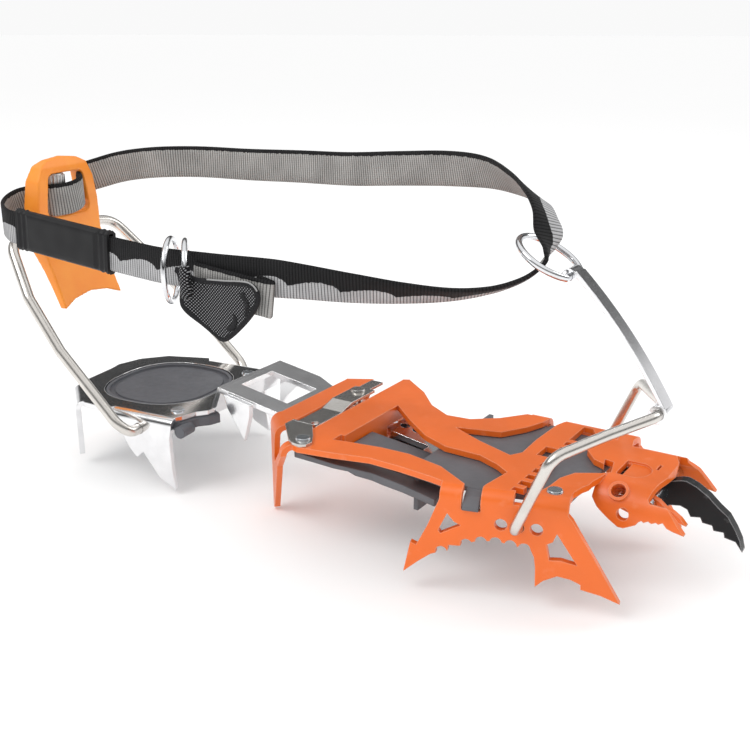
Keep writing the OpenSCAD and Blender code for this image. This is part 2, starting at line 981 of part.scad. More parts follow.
module pull_tab() {
    color(black)
        translate([0, -54, 0])
            upright(2.2)
                polygon([
                    [-121.5, 66.4], [-107.5, 65], [-95.5, 66], [-91.4, 64],
                    [-89.7, 59.5], [-93.4, 53], [-101, 45.4], [-107, 40.6], [-109.4, 40.2],
                    [-112, 40.8], [-119.4, 45.4], [-121.5, 47.6]
                ]);
}

module buckle_ring(x, y, turn) {
    translate([x, y, 64.4])
        rotate([0, 0, turn])
            rotate([0, 90, 0])
                rotate_extrude()
                    translate([12.6, 0])
                        circle(ring_wire_d / 2, $fn = 24);
}

module buckle_ring_rear() {
    color(steel)
        buckle_ring(-138.4, -48.8, 30);
}

module buckle_ring_front() {
    color(steel)
        buckle_ring(-130.6, -48.4, 40);
}

front_frame();
front_antiball_plate();
front_point();
point_cheek_plate();
front_point_bolts();
front_point_nuts();
front_point_spacers();
frame_rivets();
latch_anchor();
latch_rivet();
latch_spring();
latch_pin();
rear_frame();
heel_antiball_plate();
heel_rivets();
toe_bail();
toe_strip();
toe_ring();
heel_bail();
heel_lever();
adjuster_wheel();
adjuster_stem();
strap_webbing();
strap_tail();
strap_keeper();
pull_tab();
buckle_ring_rear();
buckle_ring_front();
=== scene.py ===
import math

import bpy
import numpy as np
from mathutils import Matrix, Vector


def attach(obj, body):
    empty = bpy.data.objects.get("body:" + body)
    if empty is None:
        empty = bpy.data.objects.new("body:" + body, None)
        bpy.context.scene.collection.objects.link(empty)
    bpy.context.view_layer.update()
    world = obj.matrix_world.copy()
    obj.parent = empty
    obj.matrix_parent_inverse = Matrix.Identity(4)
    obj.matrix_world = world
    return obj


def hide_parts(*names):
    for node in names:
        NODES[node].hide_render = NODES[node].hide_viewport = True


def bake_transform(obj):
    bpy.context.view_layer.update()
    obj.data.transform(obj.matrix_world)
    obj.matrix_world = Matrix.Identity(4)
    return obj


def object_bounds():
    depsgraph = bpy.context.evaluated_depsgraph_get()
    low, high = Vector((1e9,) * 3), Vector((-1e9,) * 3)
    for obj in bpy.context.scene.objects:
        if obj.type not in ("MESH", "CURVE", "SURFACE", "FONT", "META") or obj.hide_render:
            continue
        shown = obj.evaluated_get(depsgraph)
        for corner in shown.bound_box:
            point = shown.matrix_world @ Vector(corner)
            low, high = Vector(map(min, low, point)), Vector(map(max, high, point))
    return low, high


# A step-in crampon with wire bails, a heel lever and a safety strap.
# Lengths in this file are millimetres unless a name says otherwise; MM turns them into metres.
MM = 0.001

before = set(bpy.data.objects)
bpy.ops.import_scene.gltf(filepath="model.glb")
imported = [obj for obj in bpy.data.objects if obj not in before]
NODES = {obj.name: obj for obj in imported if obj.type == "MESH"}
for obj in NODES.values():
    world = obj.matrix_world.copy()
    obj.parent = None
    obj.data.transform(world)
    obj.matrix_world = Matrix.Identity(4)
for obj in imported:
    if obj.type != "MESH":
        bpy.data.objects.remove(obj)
cad_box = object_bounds()

STRAP_WIDTH = 15.0
STRAP_THICKNESS = 1.6
TAIL_THICKNESS = 1.2
RIB_PITCH = 1.25
# how far each rib stands proud of the webbing's face and edge
FACE_SWELL = 0.055
EDGE_SWELL = 0.10
YARN_PITCH = 0.85
WAVE_LENGTH = 21.0
TWILL_PITCH = 1.35

TOE_WIRE_RADIUS = 2.0
TOE_BEND_RADIUS = 9.0
HEEL_WIRE_RADIUS = 2.5
HEEL_BEND_RADIUS = 12.0

# the heel plate's own frame, as in the CAD
HEEL_ORIGIN = (-165.7, 1.6)
HEEL_YAW = math.radians(6.3)

# the front buckle ring, round which the pull tab's fabric folds
FRONT_RING_CENTRE = np.array([-130.6, -48.4, 64.4])
FRONT_RING_RADIUS = 12.6
FRONT_RING_TURN = math.radians(40)

# ---------------------------------------------------------------- materials


def linear(*srgb):
    """sRGB values 0..1 as linear RGBA."""
    return tuple(c / 12.92 if c < 0.04045 else ((c + 0.055) / 1.055) ** 2.4 for c in srgb) + (1.0,)


class Paint:
    """A material's node tree in short notation. Sockets and plain numbers both work as inputs."""

    def __init__(self, name):
        self.material = bpy.data.materials.new(name)
        self.material.use_nodes = True
        self.tree = self.material.node_tree
        self.tree.nodes.clear()
        output = self.tree.nodes.new("ShaderNodeOutputMaterial")
        self.shader = self.tree.nodes.new("ShaderNodeBsdfPrincipled")
        self.tree.links.new(self.shader.outputs[0], output.inputs[0])
        self.position = self.tree.nodes.new("ShaderNodeTexCoord").outputs["Object"]

    def put(self, socket, value):
        if isinstance(value, bpy.types.NodeSocket):
            self.tree.links.new(value, socket)
        else:
            socket.default_value = value

    def base(self, **values):
        names = {"color": "Base Color", "rough": "Roughness", "metal": "Metallic", "normal": "Normal",
                 "specular": "Specular IOR Level", "coat": "Coat Weight", "coat_rough": "Coat Roughness",
                 "sheen": "Sheen Weight"}
        for key, value in values.items():
            self.put(self.shader.inputs[names[key]], value)
        return self.material

    def math(self, operation, a, b=0.0, c=0.0):
        node = self.tree.nodes.new("ShaderNodeMath")
        node.operation = operation
        for socket, value in zip(node.inputs, (a, b, c)):
            self.put(socket, value)
        return node.outputs[0]

    def mix(self, share, a, b):
        node = self.tree.nodes.new("ShaderNodeMix")
        node.data_type = "RGBA"
        self.put(node.inputs["Factor"], share)
        self.put(node.inputs[6], a)
        self.put(node.inputs[7], b)
        return node.outputs[2]

    def span(self, value, low, high, to_low=0.0, to_high=1.0):
        node = self.tree.nodes.new("ShaderNodeMapRange")
        for socket, number in zip(node.inputs, (value, low, high, to_low, to_high)):
            self.put(socket, number)
        return node.outputs[0]

    def stretched(self, x, y, z):
        node = self.tree.nodes.new("ShaderNodeMapping")
        self.put(node.inputs["Vector"], self.position)
        node.inputs["Scale"].default_value = (x, y, z)
        return node.outputs[0]

    def noise(self, size, detail=3.0, where=None):
        """Noise with features about this many millimetres across."""
        node = self.tree.nodes.new("ShaderNodeTexNoise")
        self.put(node.inputs["Vector"], where or self.position)
        node.inputs["Scale"].default_value = 1.0 / (size * MM)
        node.inputs["Detail"].default_value = detail
        return node.outputs["Fac"]

    def soft(self, radius):
        """The surface normal with its edges rounded by this radius."""
        node = self.tree.nodes.new("ShaderNodeBevel")
        node.samples = 6
        node.inputs["Radius"].default_value = radius * MM
        return node.outputs[0]

    def edge(self, radius):
        """About 1 on sharp edges and 0 on flat faces."""
        node = self.tree.nodes.new("ShaderNodeVectorMath")
        node.operation = "DOT_PRODUCT"
        self.put(node.inputs[0], self.soft(radius))
        self.put(node.inputs[1], self.tree.nodes.new("ShaderNodeNewGeometry").outputs["True Normal"])
        return self.span(node.outputs["Value"], 0.98, 0.72)

    def bump(self, height, depth, normal=None, strength=1.0):
        node = self.tree.nodes.new("ShaderNodeBump")
        self.put(node.inputs["Height"], height)
        node.inputs["Distance"].default_value = depth * MM
        node.inputs["Strength"].default_value = strength
        if normal is not None:
            self.put(node.inputs["Normal"], normal)
        return node.outputs[0]

    def axes(self, socket):
        node = self.tree.nodes.new("ShaderNodeSeparateXYZ")
        self.put(node.inputs[0], socket)
        return node.outputs


def coated_metal(name, color, wear_and_highlight, rough, edge_share, shine=0.12, specular=0.5):
    """Powder-coated steel: a fine orange-peel skin, handling marks, and cut edges tinted paler: a painted
    highlight on the orange frame, bare worn steel on the black point.
    """
    p = Paint(name)
    blotch = p.noise(30, 2)
    skin = p.noise(0.45, 2)
    scuff = p.span(p.noise(5, 6), 0.62, 0.72)
    # edge mask: paints the cut edges paler, a painted highlight where the tint is peach and bare steel
    # where it is grey
    edges = p.math("MULTIPLY", p.edge(0.8), p.span(p.noise(2.5, 4), 0.25, 0.5, 0.55, 1.0))
    shade = p.mix(p.span(blotch, 0.35, 0.65), color, tuple(c * 0.9 for c in color[:3]) + (1.0,))
    shade = p.mix(p.math("MULTIPLY", scuff, 0.10), shade, wear_and_highlight)
    shade = p.mix(p.math("MULTIPLY", edges, edge_share), shade, wear_and_highlight)
    gloss = p.span(p.noise(6, 5), 0.3, 0.7, rough - 0.05, rough + 0.08)
    gloss = p.math("ADD", gloss, p.math("MULTIPLY", scuff, 0.1))
    normal = p.bump(skin, 0.012, p.soft(0.5), 0.6)
    return p.base(color=shade, rough=gloss, normal=normal, coat=shine, coat_rough=0.3, specular=specular)


def steel(name, color, rough, grain=(1, 1, 1), radius=0.35, waviness=0.0):
    """Bare steel with fine drawn grain, a soft stain pattern and edges painted brighter as a highlight."""
    p = Paint(name)
    lines = p.noise(0.35, 4, p.stretched(*grain))
    stain = p.span(p.noise(9, 5), 0.35, 0.7)
    darker = tuple(c * 0.78 for c in color[:3]) + (1.0,)
    shade = p.mix(p.math("MULTIPLY", stain, 0.5), color, darker)
    # painted highlight: the edges are mixed towards near-white
    shade = p.mix(p.math("MULTIPLY", p.edge(0.5), 0.6), shade, (0.95, 0.95, 0.95, 1.0))
    gloss = p.span(lines, 0.3, 0.7, max(rough - 0.05, 0.03), rough + 0.07)
    normal = p.bump(lines, 0.004, p.soft(radius), 0.5)
    if waviness:
        normal = p.bump(p.noise(22, 1), waviness, normal, 1.0)
    return p.base(color=shade, rough=gloss, metal=1.0, normal=normal)


def moulded(name, color, rough, grain=0.5, depth=0.02, radius=0.8):
    """Injection-moulded plastic: spark-eroded grain, slight sink marks and edges painted lighter as a
    highlight.
    """
    p = Paint(name)
    speck = p.noise(grain, 3)
    cloud = p.noise(14, 3)
    lighter = tuple(min(c * 1.35 + 0.01, 1.0) for c in color[:3]) + (1.0,)
    shade = p.mix(p.span(cloud, 0.35, 0.7, 0.0, 0.45), color, lighter)
    # painted highlight: the edges are mixed towards the lighter tone
    shade = p.mix(p.math("MULTIPLY", p.edge(0.9), 0.35), shade, lighter)
    gloss = p.span(p.noise(3, 5), 0.3, 0.7, rough - 0.06, rough + 0.08)
    normal = p.bump(speck, depth, p.soft(radius), 0.6)
    return p.base(color=shade, rough=gloss, normal=normal)


def weave_height(p, along, across, pitch, rows):
    """Height of a ribbed weave, 0..1: ribs run across the strap, cut finely by the lengthwise yarns."""
    phase = p.math("DIVIDE", along, pitch * MM)
    ribs = p.math("ABSOLUTE", p.math("SINE", p.math("MULTIPLY", phase, math.pi)))
    turn = p.math("MULTIPLY", p.math("DIVIDE", across, rows * MM), math.pi)
    yarns = p.span(p.math("ABSOLUTE", p.math("SINE", turn)), 0.0, 0.6, 0.72, 1.0)
    return p.math("MULTIPLY", p.math("POWER", ribs, 0.7), yarns)


def webbing(name, grey, two_tone):
    """Woven strap. The UV map holds millimetres times MM: u along the strap, v up across it."""
    p = Paint(name)
    uv = p.tree.nodes.new("ShaderNodeUVMap")
    u, v, _ = p.axes(uv.outputs[0])
    height = weave_height(p, u, v, RIB_PITCH, YARN_PITCH)
    fray = p.math("MULTIPLY", p.math("SUBTRACT", p.noise(1.2, 2), 0.5), 1.2 * MM)
    if two_tone:
        # a plain repeating wave between the black upper half and the grey lower half
        cycle = p.math("FRACT", p.math("DIVIDE", u, WAVE_LENGTH * MM))
        crest = p.math("SINE", p.math("MULTIPLY", p.math("POWER", cycle, 0.62), math.pi))
        border = p.math("MULTIPLY_ADD", crest, 3.1 * MM, 5.4 * MM)
    else:
        border = (STRAP_WIDTH - 1.7) * MM
    is_black = p.span(p.math("SUBTRACT", p.math("ADD", v, fray), border), -0.12 * MM, 0.12 * MM)
    # painted shade: both yarn colours are darkened down in the valleys between the ribs
    pale = p.mix(p.span(height, 0.15, 0.8), tuple(c * 0.16 for c in grey[:3]) + (1.0,), grey)
    black = p.mix(height, (0.002, 0.002, 0.002, 1.0), (0.020, 0.020, 0.021, 1.0))
    fade = p.span(p.noise(12, 3), 0.35, 0.7, 0.85, 1.1)
    scaled = p.tree.nodes.new("ShaderNodeHueSaturation")
    p.put(scaled.inputs["Color"], p.mix(is_black, pale, black))
    p.put(scaled.inputs["Value"], fade)
    normal = p.bump(height, 0.22, None, 0.9)
    normal = p.bump(p.noise(0.18, 2), 0.03, normal, 0.7)
    return p.base(color=scaled.outputs[0], rough=0.85, normal=normal, sheen=0.04, specular=0.15)


def twill(name):
    """Coarse black-and-grey diagonal weave of the pull tab, in the tab's own plane."""
    p = Paint(name)
    x, _, z = p.axes(p.position)
    diagonal = p.math("DIVIDE", p.math("SUBTRACT", x, z), TWILL_PITCH * MM)
    counter = p.math("DIVIDE", p.math("ADD", x, z), TWILL_PITCH * MM)
    lines = p.math("ABSOLUTE", p.math("SINE", p.math("MULTIPLY", diagonal, math.pi)))
    dashes = p.math("ABSOLUTE", p.math("SINE", p.math("MULTIPLY", counter, math.pi)))
    height = p.math("MULTIPLY", p.math("POWER", lines, 1.2), dashes)
    shade = p.mix(p.span(height, 0.45, 0.9), (0.004, 0.004, 0.005, 1.0), (0.30, 0.30, 0.31, 1.0))
    normal = p.bump(height, 0.2, None, 0.9)
    return p.base(color=shade, rough=0.8, normal=normal, sheen=0.03, specular=0.15)


def thread(name, color):
    p = Paint(name)
    strands = p.noise(0.25, 2, p.stretched(1, 3, 1))
    shade = p.mix(strands, tuple(c * 0.5 for c in color[:3]) + (1.0,), color)
    return p.base(color=shade, rough=0.7, normal=p.bump(strands, 0.05), sheen=0.05, specular=0.15)


def rubber(name):
    """Matt black moulded rubber with its raised edges painted a little lighter as a highlight."""
    p = Paint(name)
    # painted highlight: the raised edges are mixed towards grey
    painted_edge_highlight = p.math("MULTIPLY", p.edge(0.6), 0.35)
    shade = p.mix(p.span(p.noise(8, 4), 0.35, 0.7), (0.009, 0.009, 0.010, 1.0), (0.017, 0.017, 0.018, 1.0))
    shade = p.mix(painted_edge_highlight, shade, (0.06, 0.06, 0.06, 1.0))
    normal = p.bump(p.noise(0.3, 3), 0.03, p.soft(0.3), 0.7)
    gloss = p.span(p.noise(4, 4), 0.3, 0.7, 0.42, 0.56)
    return p.base(color=shade, rough=gloss, normal=normal, specular=0.22)


ORANGE = linear(0.92, 0.42, 0.10)
# PEACH is the frame's painted edge highlight, and faintly the tint of its handling marks
PEACH = linear(0.98, 0.70, 0.56)
frame_orange = coated_metal("frame_orange", ORANGE, PEACH, 0.34, 0.7)
BLACK_COAT = (0.010, 0.010, 0.011, 1)
BARE_EDGE = (0.42, 0.42, 0.43, 1)
point_black = coated_metal("point_black", BLACK_COAT, BARE_EDGE, 0.42, 0.9, 0.02, 0.22)
antiball = moulded("antiball_plastic", linear(0.36, 0.36, 0.375), 0.5, 0.5, 0.02)
dish_plastic = moulded("dish_plastic", linear(0.33, 0.335, 0.355), 0.48, 0.4, 0.02)
lever_plastic = moulded("lever_plastic", linear(0.965, 0.56, 0.17), 0.36, 0.4, 0.01, 1.2)
adjuster_steel = steel("adjuster_steel", (0.62, 0.61, 0.60, 1), 0.32)
polished = steel("polished_steel", (0.86, 0.86, 0.87, 1), 0.12, (1, 8, 8), 0.5, 0.12)
wire_steel = steel("wire_steel", (0.72, 0.69, 0.65, 1), 0.26, (6, 6, 1))
ring_steel = steel("ring_steel", (0.80, 0.81, 0.83, 1), 0.10)
strip_steel = steel("strip_steel", (0.92, 0.92, 0.94, 1), 0.16, (1, 10, 1))
latch_steel = steel("latch_steel", (0.60, 0.58, 0.55, 1), 0.24, (10, 1, 1))
rivet_steel = steel("rivet_steel", (0.74, 0.78, 0.82, 1), 0.2)
strap_outer = webbing("strap_outer", linear(0.72, 0.72, 0.725), True)
strap_inner = webbing("strap_inner", linear(0.665, 0.66, 0.65), False)
tab_weave = twill("tab_weave")
tab_edging = thread("tab_edging", (0.022, 0.022, 0.024, 1))
tab_thread = thread("tab_thread", (0.03, 0.03, 0.032, 1))
tab_piping = thread("tab_piping", (0.42, 0.42, 0.42, 1))
keeper_rubber = rubber("keeper_rubber")

NODE_PAINT = {
    "front_frame": frame_orange, "point_cheek_plate": frame_orange, "front_point": point_black,
    "front_antiball_plate": antiball, "heel_antiball_plate": dish_plastic,
    "front_point_bolts": rivet_steel, "front_point_nuts": rivet_steel, "front_point_spacers": rivet_steel,
    "frame_rivets": rivet_steel, "latch_rivet": rivet_steel, "heel_rivets": rivet_steel,
    "latch_anchor": latch_steel, "latch_spring": latch_steel, "latch_pin": latch_steel,
    "rear_frame": polished, "toe_strip": strip_steel, "toe_ring": ring_steel, "toe_bail": wire_steel,
    "heel_bail": wire_steel, "heel_lever": lever_plastic, "adjuster_wheel": adjuster_steel,
    "adjuster_stem": rivet_steel, "strap_webbing": strap_outer, "strap_tail": strap_outer,
    "strap_keeper": keeper_rubber, "pull_tab": tab_weave,
    "buckle_ring_rear": ring_steel, "buckle_ring_front": ring_steel,
}
for node_name, paint in NODE_PAINT.items():
    mesh = NODES[node_name].data
    mesh.materials.clear()
    mesh.materials.append(paint)

# the lever is a soft-edged moulding, so its edges are melted a little
lever = NODES["heel_lever"]
remesh = lever.modifiers.new("melt", "REMESH")
remesh.mode = "VOXEL"
remesh.voxel_size = 0.4 * MM
remesh.use_smooth_shade = True
relax = lever.modifiers.new("relax", "SMOOTH")
relax.factor = 0.5
relax.iterations = 4

# ---------------------------------------------------------------- shapes


def add_mesh(name, points, faces, materials, sharp_angle=50.0):
    """A mesh object from millimetre points, smooth except across sharp edges."""
    mesh = bpy.data.meshes.new(name)
    mesh.from_pydata([tuple(float(c) * MM for c in p) for p in points], [], faces)
    mesh.validate()
    for material in materials:
        mesh.materials.append(material)
    mesh.shade_smooth()
    mesh.set_sharp_from_angle(angle=math.radians(sharp_angle))
    obj = bpy.data.objects.new(name, mesh)
    bpy.context.scene.collection.objects.link(obj)
    return obj


def curve_through(points, step, closed=False):
    """Points about step apart along a smooth curve through the given rows, all columns carried along."""
    rows = np.array(points, float)
    count = len(rows)
    if closed:
        rows = np.vstack([rows[-2:-1], rows, rows[1:2]])
    else:
        rows = np.vstack([2 * rows[0] - rows[1], rows, 2 * rows[-1] - rows[-2]])
    chord = np.linalg.norm(np.diff(rows[:, :3], axis=0), axis=1)
    at = np.concatenate([[0], np.cumsum(chord)])
    fine = []
    for i in range(1, count):
        span = at[i + 1] - at[i]
        slope_a = (rows[i + 1] - rows[i - 1]) / (at[i + 1] - at[i - 1]) * span
        slope_b = (rows[i + 2] - rows[i]) / (at[i + 2] - at[i]) * span
        for t in np.linspace(0, 1, max(int(span / (step * 0.25)), 4), endpoint=False):
            t2, t3 = t * t, t * t * t
            fine.append((2 * t3 - 3 * t2 + 1) * rows[i] + (t3 - 2 * t2 + t) * slope_a
                        + (3 * t2 - 2 * t3) * rows[i + 1] + (t3 - t2) * slope_b)
    fine.append(rows[count])
    fine = np.array(fine)
    travelled = np.concatenate([[0], np.cumsum(np.linalg.norm(np.diff(fine[:, :3], axis=0), axis=1))])
    number = max(int(round(travelled[-1] / step)), 2)
    wanted = np.linspace(0, travelled[-1], number + 1)
    out = np.stack([np.interp(wanted, travelled, fine[:, k]) for k in range(fine.shape[1])], axis=1)
    return (out[:-1], wanted[:-1]) if closed else (out, wanted)


def unit(v):
    return v / np.maximum(np.linalg.norm(v, axis=-1, keepdims=True), 1e-9)


def grid_faces(rows, columns, wrap_rows, wrap_columns=True):
    faces = []
    for i in range(rows if wrap_rows else rows - 1):
        for j in range(columns if wrap_columns else columns - 1):
            a, b = i * columns + j, i * columns + (j + 1) % columns
            c, d = ((i + 1) % rows) * columns + (j + 1) % columns, ((i + 1) % rows) * columns + j
            faces.append((a, b, c, d))
    return faces


def webbing_band(name, rows, width, thickness, closed, materials):
    """Flat ribbed webbing along rows of [x, y, z, roll in degrees]; the roll turns it about its line."""
    rows = np.array(rows, float)
    line = rows[:, :3]
    tangent = unit(np.gradient(line, axis=0))
    if closed:
        tangent[0] = tangent[-1] = unit(line[1] - line[-2])
    side = unit(np.cross([0, 0, 1], tangent))
    rise = np.cross(tangent, side)
    roll = np.radians(rows[:, 3])[:, None]
    up = np.cos(roll) * rise - np.sin(roll) * side
    if closed:
        up[0] = up[-1] = unit(up[0] + up[-1])
    smooth, travelled = curve_through(np.hstack([line, up]), RIB_PITCH / 4, closed)
    centre, up = smooth[:, :3], smooth[:, 3:6]
    if closed:
        run = unit(np.roll(centre, -1, 0) - np.roll(centre, 1, 0))
    else:
        run = unit(np.gradient(centre, axis=0))
    up = unit(up - run * np.sum(up * run, axis=1, keepdims=True))
    out = np.cross(up, run)
    half, deep = width / 2, thickness / 2
    # the webbing's cross-section as shares of its width and half its thickness
    upper = [(-0.47, 0.62), (-0.44, 1.0), (-0.22, 1.0), (0.0, 1.0), (0.22, 1.0), (0.44, 1.0), (0.47, 0.62)]
    profile = upper + [(0.5, 0.0)] + [(across, -depth) for across, depth in upper[::-1]] + [(-0.5, 0.0)]
    swell = np.abs(np.sin(2 * math.pi * travelled / RIB_PITCH))
    points = []
    for k in range(len(centre)):
        for across, depth in profile:
            at_edge = EDGE_SWELL if abs(across) > 0.46 else 0
            w = across * width + math.copysign(at_edge * swell[k], across)
            t = depth * deep + math.copysign(FACE_SWELL * swell[k], depth or 1)
            points.append(centre[k] + up[k] * w + out[k] * t)
    count = len(profile)
    faces = grid_faces(len(centre), count, closed)
    if not closed:
        faces.append(tuple(range(count))[::-1])
        faces.append(tuple((len(centre) - 1) * count + j for j in range(count)))
    band = add_mesh(name, points, faces, materials, 70)
    mesh = band.data
    layer = mesh.uv_layers.new(name="UVMap")
    total = travelled[-1] + RIB_PITCH / 4
    for face in mesh.polygons:
        keys = [mesh.loops[i].vertex_index for i in face.loop_indices]
        places = [travelled[key // count] for key in keys]
        if closed and max(places) - min(places) > total / 2:
            places = [s + total if s < total / 2 else s for s in places]
        middle = sum(profile[key % count][1] for key in keys) / len(keys)
        face.material_index = 0 if middle >= 0 or len(materials) == 1 else 1
        for loop, key, place in zip(face.loop_indices, keys, places):
            layer.data[loop].uv = (place * MM, (half + profile[key % count][0] * width) * MM)
    return band


def rounded_path(points, radius):
    """The polyline with each corner replaced by an arc."""
    pts = [Vector(p) for p in points]
    path = [pts[0]]
    for before, corner, after in zip(pts, pts[1:], pts[2:]):
        a, b = (before - corner), (after - corner)
        angle = a.angle(b)
        reach = min(radius / math.tan(angle / 2), 0.48 * a.length, 0.48 * b.length)
        start, end = corner + a.normalized() * reach, corner + b.normalized() * reach
        for k in range(11):
            t = k / 10
            path.append((1 - t) ** 2 * start + 2 * t * (1 - t) * corner + t * t * end)
    path.append(pts[-1])
    return path


def tube(name, points, wire_radius, materials, sides=20):
    """A bent wire with slightly domed ends."""
    path = [path_point for i, path_point in enumerate(points)
            if i == 0 or (path_point - points[i - 1]).length > 1e-4]
    runs = [(b - a).normalized() for a, b in zip(path, path[1:])]
    runs = [runs[0]] + [(a + b).normalized() for a, b in zip(runs, runs[1:])] + [runs[-1]]
    side = runs[0].orthogonal().normalized()
    rings, verts = [], []
    for k, (centre, run) in enumerate(zip(path, runs)):
        side = (side - run * side.dot(run)).normalized()
        rings.append((centre, run, side, 1.0))
    first, last = rings[0], rings[-1]
    dome = [(-0.45, 0.55), (-0.25, 0.85)]
    start = [(first[0] + first[1] * wire_radius * (d + 0.45), first[1], first[2], s) for d, s in dome]
    end = [(last[0] - last[1] * wire_radius * (d + 0.45), last[1], last[2], s) for d, s in dome[::-1]]
    rings = start + [(first[0] + first[1] * wire_radius * 0.45, first[1], first[2], 1.0)] + rings[1:-1] \
        + [(last[0] - last[1] * wire_radius * 0.45, last[1], last[2], 1.0)] + end
    for centre, run, side, scale in rings:
        other = run.cross(side)
        for j in range(sides):
            a = 2 * math.pi * j / sides
            verts.append(centre + (side * math.cos(a) + other * math.sin(a)) * wire_radius * scale)
    faces = grid_faces(len(rings), sides, False)
    faces.append(tuple(range(sides))[::-1])
    faces.append(tuple((len(rings) - 1) * sides + j for j in range(sides)))
    return add_mesh(name, verts, faces, materials)


def mirrored(half):
    return half + [(x, -y, z) for x, y, z in half[::-1]]


def to_heel(p):
    """Heel plate coordinates, as in the CAD, to the shared frame."""
    x, y, z = p
    along, across = math.cos(HEEL_YAW), math.sin(HEEL_YAW)
    return (HEEL_ORIGIN[0] + x * along - y * across, HEEL_ORIGIN[1] + x * across + y * along, z)


# ---------------------------------------------------------------- wires

toe_half = [(14.2, -36.4, -12.2), (14.2, -43.4, -12.2), (15.1, -45.6, -10.2), (26.2, -46.0, 17.0),
            (28.6, -43.4, 20.2), (39.0, -24.4, 23.4), (49.5, -6.6, 26.1)]
toe_path = rounded_path(mirrored(toe_half), TOE_BEND_RADIUS)
toe_wire = tube("toe_bail_wire", toe_path, TOE_WIRE_RADIUS, [wire_steel])
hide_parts("toe_bail")
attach(toe_wire, "toe_bail")

heel_half = [(-12.5, -36, -15), (-12.5, -46.5, -15), (-17.2, -49.6, -10.5), (-47, -48.7, 19),
             (-66, -45.2, 40.5), (-83.6, -35.5, 62.2), (-85, -21, 64)]
heel_path = rounded_path([to_heel(p) for p in mirrored(heel_half)], HEEL_BEND_RADIUS)
heel_wire = tube("heel_bail_wire", heel_path, HEEL_WIRE_RADIUS, [wire_steel])
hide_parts("heel_bail")
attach(heel_wire, "heel_bail")

# ---------------------------------------------------------------- safety strap

# rows of [x, y, z, roll], from the toe ring back along the outer side, through the lever's window
# and forward along the inner side
STRAP = [
    [1, 4, 79, -60], [0.6, 3, 75.4, -60], [-2, 0, 71, -65], [-7, -5, 67.4, -68],
    [-15, -11.5, 64.6, -68], [-27, -19, 63, -60], [-43, -28, 63.4, -45], [-60, -36, 64.7, -28],
    [-79, -42, 66, -12], [-91, -45, 66.4, 0], [-118.6, -48, 66, 0], [-150, -48.2, 65.6, 0],
    [-236, -47.2, 71.8, 0], [-243, -45.2, 72.8, 0], [-249.6, -41, 73.6, 0], [-255, -35.5, 74.6, 0],
    [-257.6, -29, 76, 0], [-256.6, -23.4, 77.4, 0], [-252, -18.8, 78.4, 0], [-246, -15.6, 78.6, 0],
    [-242.6, -9.6, 79, 0], [-242.2, -3.4, 80, 0], [-244.6, 2.2, 81.4, 0], [-250, 5.8, 82.6, 0],
    [-255.2, 9, 83.8, 0], [-256.6, 14, 85, 0], [-252.4, 20.6, 87, 0], [-244, 25.8, 89.8, 0],
    [-234, 28.8, 91.8, 0], [-219, 33, 93.5, 0], [-200.6, 40.5, 94, 0], [-173, 45, 94, 0],
    [-143, 46, 95, 0], [-114, 45, 96, 0], [-86, 42, 98.5, 5], [-58, 36, 101, 10], [-36, 29, 101.6, 25],
    [-18.7, 20, 99, 45], [-8, 13, 95.6, 60], [-3, 9, 91, 60], [0, 6, 85, 60], [1, 4, 79, 60],
]
strap = webbing_band("safety_strap", STRAP, STRAP_WIDTH, STRAP_THICKNESS, True, [strap_outer, strap_inner])
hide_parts("strap_webbing")
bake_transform(strap)

TAIL = [[-125, -50.2, 62.4, 0], [-112, -50.3, 61.2, 0], [-101, -50.0, 60.2, 0], [-91, -49.0, 59.2, 0],
        [-88.2, -47.9, 58.8, 0], [-89.5, -46.6, 58.9, 0], [-97, -46.8, 60.4, 0]]
tail_width = STRAP_WIDTH * 0.98
tail = webbing_band("strap_tail_fold", TAIL, tail_width, TAIL_THICKNESS, False, [strap_outer, strap_inner])
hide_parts("strap_tail")
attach(tail, "strap")

# ---------------------------------------------------------------- keeper


